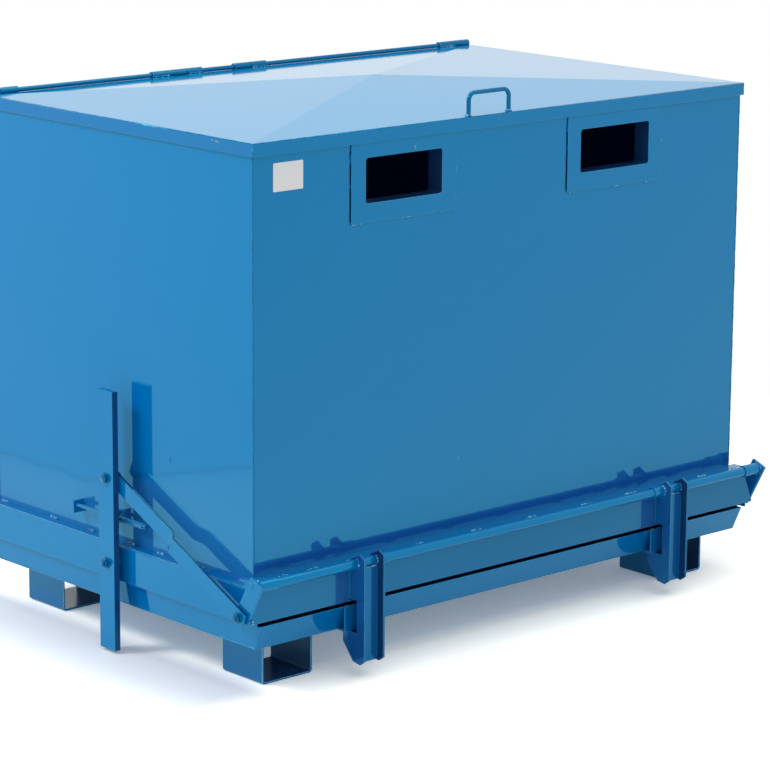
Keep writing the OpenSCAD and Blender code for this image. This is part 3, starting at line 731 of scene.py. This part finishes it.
def within_foot(centre, normal):
    return abs(normal.y) < 0.5 and centre.z > 3 and FOOT_IN + 3 < abs(centre.x) < FOOT_OUT - 3


def within_hook(centre, normal):
    return abs(normal.x) > 0.9 and HOOK_IN + 3 < abs(centre.x) < HOOK_OUT - 3


def within_slot(centre, normal):
    return centre.y > FRONT_Y + 1


# A node's second, darker enamel, painted shade on the insides of feet, hooks and slot frames, the
# levers' front faces and the links' narrow sides, and which of its faces get it, by their middle in mm
# and their normal
SHADED = {
    "feet": (foot_shade_enamel, within_foot),
    "hook_plates": (shade_enamel, within_hook),
    "left_slot_frame": (shade_enamel, within_slot),
    "right_slot_frame": (shade_enamel, within_slot),
    "left_lever": (lever_shade_enamel, faces_front),
    "right_lever": (lever_shade_enamel, faces_front),
    "left_link": (shade_enamel, narrow_side),
    "right_link": (shade_enamel, narrow_side),
}
# Nodes by their enamel. The others in DRESSED have plate_enamel
COATS = [
    (front_enamel, ("front_wall", "back_wall", "left_slot_frame", "right_slot_frame")),
    (side_enamel, ("left_wall", "right_wall")),
    (sheet_enamel, ("tray_sides", "tray_floor", "left_skirt", "right_skirt", "back_skirt", "base_edge")),
    (hook_enamel, ("hook_plates", "hook_webs", "hook_ramps", "feet")),
    (bar_enamel, ("lid_handle", "lid_knuckles", "body_knuckles", "hinge_rod")),
    (arm_enamel, ("left_lever", "right_lever", "left_link", "right_link")),
    (beam_enamel, ("front_beam",)),
]


def dress_all():
    coat = {node: material for material, nodes in COATS for node in nodes}
    for body, nodes in DRESSED.items():
        for node, width in nodes.items():
            dress(node, body, width, coat.get(node, plate_enamel))
    for side in ("left", "right"):
        rod = dress(side + "_lock_rod", side + "_rod", ROD_EDGE, rod_enamel)


# Bolts

WASHER_R, WASHER_T = 15.2, 2.3
SPACER_R, SPACER_T, SPACER_STEP = 17.6, 5.7, 5.9
# From the end plate out to the stud's outer washer, and from the lever in to the link's inner face
STUD_HEAD = 10.3
LINK_SET = 10


def add_washer(bm, x, y, z, turn, radius=WASHER_R, thick=WASHER_T):
    add_turned(bm, x, [(0, radius - 0.5), (0.4, radius), (thick - 0.4, radius), (thick, radius - 0.5)],
               y, z, turn)


def add_hexagon(bm, x, y, z, turn, height=9.0, flat=11.2):
    """A bolt head or nut with its corners chamfered at both faces."""
    tip = flat * 1.16
    add_turned(bm, x, [(0, flat * 0.97), (1.2, tip), (height - 1.4, tip), (height, flat * 0.95)],
               y, z, turn, flat=flat)


def add_thread(bm, x, y, z, turn, length, pitch=2.0):
    """A threaded end, thinned to a chamfer at its tip."""
    profile = []
    for i in range(int(length / pitch)):
        profile += [(i * pitch, BOLT_R - 0.7), (i * pitch + 0.5 * pitch, BOLT_R)]
    add_turned(bm, x, profile + [(length, BOLT_R - 1.4)], y, z, turn, sides=32)


def add_shank(bm, x0, x1, y, z):
    add_turned(bm, min(x0, x1), [(0, BOLT_R), (abs(x1 - x0), BOLT_R)], y, z, sides=32)


def fit_pivot(bolt, spacer, turn):
    """The bolt that a lever turns on, through the skirt, with three spacers behind the lever."""
    outer = turn * (LEVER_OUT + 0.2)
    add_shank(bolt, turn * (SKIRT_X - 20), turn * (LEVER_OUT + 2), LEVER_Y, PIVOT_Z)
    add_hexagon(bolt, turn * (SKIRT_X - BASE_SHEET), LEVER_Y, PIVOT_Z, -turn, 12)
    add_washer(bolt, outer, LEVER_Y, PIVOT_Z, turn)
    add_hexagon(bolt, outer + WASHER_T * turn, LEVER_Y, PIVOT_Z, turn)
    add_thread(bolt, outer + 10 * turn, LEVER_Y, PIVOT_Z, turn, 7)
    for k in range(3):
        add_washer(spacer, turn * (SKIRT_X + 0.1 + SPACER_STEP * k), LEVER_Y, PIVOT_Z, turn,
                   SPACER_R, SPACER_T)


def fit_stud(stud, turn):
    """The stud on which a link's lower end turns, with a washer at both sides of the link."""
    head = PLATE_OUT + STUD_HEAD
    add_shank(stud, turn * PLATE_IN, turn * (head + 2), LINK_LOW_Y, LINK_LOW_Z)
    add_washer(stud, turn * PLATE_OUT, LINK_LOW_Y, LINK_LOW_Z, turn, thick=1.7)
    add_washer(stud, turn * head, LINK_LOW_Y, LINK_LOW_Z, turn)
    add_hexagon(stud, turn * (head + 2.2), LINK_LOW_Y, LINK_LOW_Z, turn, 8.5)
    add_thread(stud, turn * (head + 10), LINK_LOW_Y, LINK_LOW_Z, turn, 4)


def make_lever_bolt(turn):
    """The bolt through a lever and its link's upper end, with a wide washer behind the link."""
    bm = bmesh.new()
    link_in = LEVER_IN - LINK_SET
    add_shank(bm, turn * (link_in - 18), turn * (LEVER_OUT + 2), LEVER_Y, LINK_TOP_Z)
    add_washer(bm, turn * (LEVER_OUT + 0.1), LEVER_Y, LINK_TOP_Z, turn)
    add_hexagon(bm, turn * (LEVER_OUT + WASHER_T), LEVER_Y, LINK_TOP_Z, turn, 8.6)
    add_washer(bm, turn * (link_in - 1), LEVER_Y, LINK_TOP_Z, -turn, 20.8, 2.5)
    add_hexagon(bm, turn * (link_in - 3.4), LEVER_Y, LINK_TOP_Z, -turn, 11)
    return bm


def fit_bolts():
    """Painted bolts with washers, nuts and thread ends in the place of the plain CAD ones."""
    pivot, spacer, stud = bmesh.new(), bmesh.new(), bmesh.new()
    for turn in SIDES:
        fit_pivot(pivot, spacer, turn)
        fit_stud(stud, turn)
    pieces = [(pivot, "pivot_bolts", "box"), (spacer, "pivot_washers", "box"),
              (stud, "link_studs", "tray_frame")]
    for turn, name in zip(SIDES, ("left", "right")):
        pieces.append((make_lever_bolt(turn), name + "_lever_bolt", name + "_lever_arm"))
    for bm, node, body in pieces:
        piece = keep(bm, node + "_turned", bolt_enamel, body)
        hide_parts(node)


# Welds

# Each kind of bead: radius, length of a ripple and how far it strays from its line. A glint of 0
# leaves the bead without painted highlights
BEADS = {
    "plain": {"radius": 2.6, "pitch": 5.0, "wobble": 0.8},
    "tube stitch": {"radius": 4.8, "pitch": 6.5, "wobble": 1.8},
    "tube stitch foot": {"radius": 4.2, "pitch": 7.5, "wobble": 2.2},
    "wall corner": {"radius": 1.6, "pitch": 6.0, "wobble": 0.5, "glint": 0},
    "wall foot": {"radius": 1.5, "pitch": 7.0, "wobble": 0.4, "glint": 0},
    "side stitch": {"radius": 3.4, "pitch": 5.5, "wobble": 1.2},
    "back stitch": {"radius": 3.0, "pitch": 4.5, "wobble": 0.8},
    "spot below frame": {"radius": 2.2, "pitch": 5.0, "wobble": 1.0},
    "spot beside frame": {"radius": 1.8, "pitch": 5.0, "wobble": 0.8},
    "tube ring": {"radius": 2.6, "pitch": 5.5, "wobble": 1.0},
    "channel seam": {"radius": 1.8, "pitch": 5.0, "wobble": 0.5, "glint": 0},
    "channel top": {"radius": 2.4, "pitch": 6.0, "wobble": 0.8},
    "beam seam": {"radius": 2.2, "pitch": 5.0, "wobble": 0.8, "glint": 0},
    "beam foot": {"radius": 3.4, "pitch": 4.5, "wobble": 1.2},
    "plate foot": {"radius": 2.4, "pitch": 4.5, "wobble": 0.8},
    "keeper seam": {"radius": 1.8, "pitch": 5.0, "wobble": 0.5},
    "handle foot": {"radius": 2.8, "pitch": 5.0, "wobble": 0.8},
    "handle neck": {"radius": 1.6, "pitch": 5.0, "wobble": 0.6},
    "knuckle seam": {"radius": 2.6, "pitch": 6.0, "wobble": 1.0},
    "rim corner": {"radius": 0.9, "pitch": 4.0, "wobble": 0.3},
    "paint run": {"radius": 1.3, "pitch": 30, "wobble": 0.3},
    "thin paint run": {"radius": 1.2, "pitch": 30, "wobble": 0.3},
}
ACROSS = (1, 0, 0)
UPRIGHT = (0, 0, 1)
TUBE_STITCHES = [(-862, -826), (-765, -724), (-642, -616), (-398, -356), (-189, -145), (16, 62),
                 (228, 274), (393, 449), (690, 736), (838, 866)]
SIDE_STITCHES = [(541, 577), (310, 350), (143, 180), (-34, 2), (-158, -122), (-330, -296), (-498, -468)]
# Spots by their distance from a slot frame's left end and from its foot
SPOTS_BELOW = [(6, 40), (176, 212), (300, 330)]
SPOTS_BESIDE = [(8, 36), (96, 120)]
GUIDES_BEHIND_LEVER = (24, 185)
GUIDE_SHEET = 6
HOOK_RING_R, CHANNEL_RING_R = 16.9, 17


def lay_bead(bm, kind, points, seed, **form):
    add_bead(bm, points, seed=seed, **BEADS[kind], **form)


def weld_tube(bm):
    """Stitches between the hinge tube and the base edge."""
    y, z = SHAFT_Y + 10.5, SHAFT_Z + 9.5
    for i, (x0, x1) in enumerate(TUBE_STITCHES):
        lay_bead(bm, "tube stitch", [(x0, y, z), (x1, y, z)], i)
        lay_bead(bm, "tube stitch foot", [(x0 + 9, y + 6, z - 5), (x1 - 6, y + 6, z - 5)], i + 40)


def weld_walls(bm):
    """Seams up the corners and along the foot of the front, and stitches at the other walls."""
    for i, (side, y) in enumerate(((-1, FRONT_Y), (1, FRONT_Y), (-1, BACK_Y), (1, BACK_Y))):
        x = side * (HALF_W - 0.2)
        foot = SIDE_TOP if y > 0 else BASE_TOP
        lay_bead(bm, "wall corner", [(x, y, foot), (x, y, RIM_LOW)], 20 + i)
    y, z = FRONT_Y - 0.6, BASE_TOP + 0.6
    lay_bead(bm, "wall foot", [(-HALF_W, y, z), (HALF_W, y, z)], 33)
    z = SIDE_TOP + 1
    for side in SIDES:
        x = side * (HALF_W + 1)
        for i, (y0, y1) in enumerate(SIDE_STITCHES):
            lay_bead(bm, "side stitch", [(x, y0, z), (x, y1, z)], i + 50)
    rng = random.Random(4)
    x, y = 40 - HALF_W, BACK_Y + 1
    while x < HALF_W - 60:
        size = rng.uniform(36, 56)
        lay_bead(bm, "back stitch", [(x, y, z), (x + size, y, z)], int(x))
        x += rng.uniform(180, 250)


def weld_slot_frames(bm):
    """Spots below each slot frame, up its right side and at the top of its left side."""
    y, below = FRONT_Y - 1.5, FRAME_LOW - 0.6
    for side in SIDES:
        left = FRAME_LEFT if side > 0 else -FRAME_RIGHT
        right = left + FRAME_RIGHT - FRAME_LEFT
        for i, (a, b) in enumerate(SPOTS_BELOW):
            lay_bead(bm, "spot below frame", [(left + a, y, below), (left + b, y, below)], i + 60 * side)
        x = right + 0.5
        for i, (a, b) in enumerate(SPOTS_BESIDE):
            lay_bead(bm, "spot beside frame", [(x, y, FRAME_LOW + a), (x, y, FRAME_LOW + b)], i + 70)
        x = left - 0.5
        lay_bead(bm, "spot beside frame", [(x, y, FRAME_TOP - 40), (x, y, FRAME_TOP - 22)], 75)


def weld_guides(bm):
    for side in SIDES:
        x = side * (HALF_W + 1.5)
        for behind in GUIDES_BEHIND_LEVER:
            guide = LEVER_Y + behind
            for y in (guide - 1, guide + GUIDE_SHEET + 1):
                lay_bead(bm, "plain", [(x, y, GUIDE_LOW + 2), (x, y, GUIDE_TOP - 3)], int(y) + side)


def weld_box():
    bm = bmesh.new()
    weld_tube(bm)
    weld_walls(bm)
    weld_slot_frames(bm)
    weld_guides(bm)
    keep(bm, "box_welds", weld_enamel, "box", sharp=WELD_SMOOTH_BELOW)


def weld_sleeves(bm, side):
    """Rings round the sleeves at their plates, on the side that shows, and round the tube."""
    ring = SLEEVE_R + 1
    lay_bead(bm, "plain", arc_x(side * (PLATE_IN - 1.2), SHAFT_Y, SHAFT_Z, ring, 60, 250), 80,
             side=ACROSS)
    lay_bead(bm, "plain", arc_x(side * (HOOK_IN - 1.2), SHAFT_Y, SHAFT_Z, ring, 75, 215), 83,
             side=ACROSS)
    lay_bead(bm, "tube ring", arc_x(side * (HOOK_OUT + 1.2), SHAFT_Y, SHAFT_Z, HOOK_RING_R, 115, 95), 85,
             side=ACROSS)


def weld_hook(bm, side):
    """Inside a hook bracket: round the tube, up the channel and across its top."""
    inner = (HOOK_IN + HOOK_T, HOOK_OUT - HOOK_T)
    y = HOOK_BACK - 7
    for i, x in enumerate((inner[0] + 1.5, inner[1] - 1.5)):
        lay_bead(bm, "tube ring", arc_x(side * x, SHAFT_Y, SHAFT_Z, CHANNEL_RING_R, 115, 90), 87 + i,
                 side=ACROSS)
        lay_bead(bm, "channel seam", [(side * x, y, WEB_LOW + 8), (side * x, y, WEB_TOP - 4)], 90 + i)
    y = HOOK_BACK - 3
    lay_bead(bm, "channel top", [(side * inner[0], y, WEB_TOP), (side * inner[1], y, WEB_TOP)], 92)


def weld_beam(bm, side):
    """The beam to its hook bracket and its end plate."""
    y = BEAM_FRONT - 1
    for i, x in enumerate((HOOK_IN - 1, HOOK_OUT + 1)):
        x *= side
        lay_bead(bm, "beam seam", [(x, y, BEAM_LOW + 8), (x, y, BEAM_TOP - 2)], 94 + i)
        lay_bead(bm, "beam foot", [(x, y - 1, BEAM_LOW + 4), (x, y + 6, BEAM_LOW + 1)], 97 + i)
    x = side * (PLATE_IN - 1)
    lay_bead(bm, "plate foot", [(x, y, BEAM_LOW), (x, y, BEAM_LOW + 12)], 99)


def weld_tray(bm, side):
    """The feet under the tray, and the keeper on the tray's rim."""
    z = TRAY_LOW - 1
    for y0, y1 in FOOT_ROWS:
        for x in (FOOT_IN - 1, FOOT_OUT + 1):
            lay_bead(bm, "plain", [(side * x, y0 + 6, z), (side * x, y1 - 6, z)], int(x + y0))
    y, z = KEEPER_FRONT + 5, KEEPER_SEAM_Z
    lay_bead(bm, "keeper seam", [(side * (HOOK_IN - 12), y, z), (side * (HOOK_OUT + 12), y, z)], 101)


def weld_tray_frame():
    bm = bmesh.new()
    for side in SIDES:
        weld_sleeves(bm, side)
        weld_hook(bm, side)
        weld_beam(bm, side)
        weld_tray(bm, side)
    keep(bm, "tray_frame_welds", weld_enamel, "tray_frame", sharp=WELD_SMOOTH_BELOW)


def weld_lid():
    """The handle's legs, the knuckles along the back edge and the rim's front corners."""
    bm = bmesh.new()
    left, right = span("lid_handle", X)
    for i, x in enumerate((left + 6, right - 6)):
        lay_bead(bm, "handle foot", ring_z(x, HANDLE_Y, HANDLE_LOW + 1.2, 7.2), 110 + i,
                 side=UPRIGHT, closed=True)
        lay_bead(bm, "handle neck", ring_z(x, HANDLE_Y, HANDLE_LOW + 4.0, 6.2), 120 + i,
                 side=UPRIGHT, closed=True)
    y, z = LID_BACK + 1.5, RIM_FOLD + 5
    for i, (x0, x1) in enumerate(LID_KNUCKLES):
        lay_bead(bm, "knuckle seam", [(x0 + 4, y, z), (x1 - 4, y, z)], 130 + i)
    y = LID_FRONT + 0.3
    for side in SIDES:
        x = side * (LID_HALF - 0.3)
        lay_bead(bm, "rim corner", [(x, y, RIM_LOW + 1), (x, y, RIM_FOLD)], 140)
    keep(bm, "lid_welds", weld_enamel, "lid", sharp=WELD_SMOOTH_BELOW)


# Small marks and the blank plate

# Spans of painted gap shadow at each slot frame's left edge, from its foot
SEAM_SHADOW_SPANS = {-1: [(8, 96), (104, 156), (168, 190)], 1: [(10, 120), (126, 168)]}
# Scuffs on the lid's left rim: place along Y and Z, half width, half height and seed
RIM_SCUFFS = [(-398, 1417, 9, 2.2, 1), (-380, 1419, 5, 1.4, 5)]
# Scuff above the left slot: place along X and Z, half width, half height and seed
FRAME_SCUFF = (-352, 1366, 3, 6, 2)
# Paint runs on the left wall: kind of bead, place along Y, top and foot
PAINT_RUNS = [("paint run", -187, 566, 546), ("thin paint run", 118, 402, 392)]
BLANK_LEFT, BLANK_RIGHT, BLANK_LOW, BLANK_TOP, BLANK_ROUND = -827, -729, 1298, 1371, 3


def add_slab(bm, low, high):
    """A small closed box between two corners."""
    made = bmesh.ops.create_cube(bm, size=1.0)["verts"]
    low, high = Vector(low), Vector(high)
    for vert in made:
        vert.co = Vector([low[a] + (vert.co[a] + 0.5) * (high[a] - low[a]) for a in range(3)]) * MM


def paint_seam_shadows():
    """Dark strips of painted shadow in the seams up the front corners of the walls and at the left edge
    of each slot frame.
    """
    bm = bmesh.new()
    for side in SIDES:
        x = side * HALF_W
        add_slab(bm, (x - 0.5, FRONT_Y - 0.15, BASE_TOP + 3), (x + 0.5, FRONT_Y + 2.2, RIM_LOW))
    for side in SIDES:
        left = FRAME_LEFT if side > 0 else -FRAME_RIGHT
        for a, b in SEAM_SHADOW_SPANS[side]:
            add_slab(bm, (left - 1.5, FRONT_Y - 3.0, FRAME_LOW + a),
                     (left + 0.02, FRONT_Y + 0.5, FRAME_LOW + b))
    soften(bm, width=0.4)
    keep(bm, "seam_shadow_strips", seam_shadow, "box")


def close_frame_tops():
    """Strips that carry the slot frames on up to the lid's rim."""
    bm = bmesh.new()
    for left, right in ((-FRAME_RIGHT, -FRAME_LEFT), (FRAME_LEFT, FRAME_RIGHT)):
        add_slab(bm, (left + 1, FRONT_Y - 3.6, FRAME_TOP - 0.5), (right - 1, FRONT_Y + 0.5, RIM_LOW - 0.8))
    keep(bm, "slot_frame_tops", front_enamel, "box")


def add_scuff(bm, centre, across, along, width, length, seed):
    """A thin ragged patch in the plane of two directions."""
    centre, across, along = Vector(centre), Vector(across), Vector(along)
    lift = across.cross(along).normalized()
    rim = []
    for k in range(SCUFF_SIDES):
        t = 2 * math.pi * k / SCUFF_SIDES
        r = 1 + 0.45 * noise.noise(Vector((k * 1.3, seed, 0)))
        rim.append(centre + across * (math.cos(t) * width * r) + along * (math.sin(t) * length * r))
    low = [bm.verts.new((p - lift * 0.2) * MM) for p in rim]
    high = [bm.verts.new((p + lift * 0.15) * MM) for p in rim]
    bm.faces.new(high)
    bm.faces.new(list(reversed(low)))
    for k in range(SCUFF_SIDES):
        after = (k + 1) % SCUFF_SIDES
        bm.faces.new((low[k], low[after], high[after], high[k]))


def add_marks():
    """A few scuffs in the enamel and two paint runs on the left wall."""
    bm = bmesh.new()
    for y, z, width, length, seed in RIM_SCUFFS:
        add_scuff(bm, (-LID_HALF, y, z), (0, 1, 0.2), (0, -0.2, 1), width, length, seed)
    keep(bm, "lid_scuffs", scuffed_enamel, "lid")
    bm = bmesh.new()
    x, z, width, length, seed = FRAME_SCUFF
    add_scuff(bm, (x, FRONT_Y - 4, z), ACROSS, UPRIGHT, width, length, seed)
    keep(bm, "frame_scuff", scuffed_enamel, "box")
    bm = bmesh.new()
    x = -HALF_W - 0.2
    for seed, (kind, y, top, foot) in enumerate(PAINT_RUNS, start=3):
        lay_bead(bm, kind, [(x, y, top), (x, y, foot)], seed)
    keep(bm, "paint_runs", side_enamel, "box")


def fit_blank_plate():
    """A blank white plate at the top left of the front wall."""
    bm = bmesh.new()
    left, right = BLANK_LEFT + BLANK_ROUND, BLANK_RIGHT - BLANK_ROUND
    low, top = BLANK_LOW + BLANK_ROUND, BLANK_TOP - BLANK_ROUND
    ring = []
    for x, z, start in ((right, top, 0), (left, top, 90), (left, low, 180), (right, low, 270)):
        for k in range(6):
            t = math.radians(start + 18 * k)
            ring.append((x + BLANK_ROUND * math.cos(t), z + BLANK_ROUND * math.sin(t)))
    back = [bm.verts.new((x * MM, (FRONT_Y + 0.2) * MM, z * MM)) for x, z in ring]
    front = [bm.verts.new((x * MM, (FRONT_Y - 1.0) * MM, z * MM)) for x, z in ring]
    count = len(ring)
    for k in range(count):
        after = (k + 1) % count
        bm.faces.new((back[k], back[after], front[after], front[k]))
    bm.faces.new(list(reversed(front)))
    bm.faces.new(back)
    bmesh.ops.recalc_face_normals(bm, faces=bm.faces)
    soften(bm, width=0.3, least_angle=40)
    keep(bm, "blank_plate", plate_white, "box")


scene = bpy.context.scene
scene.view_settings.view_transform = "Standard"
aim_camera()
light_studio()
lay_floor()
fold_lid()
dress_all()
fit_bolts()
weld_box()
weld_tray_frame()
weld_lid()
paint_seam_shadows()
close_frame_tops()
add_marks()
fit_blank_plate()
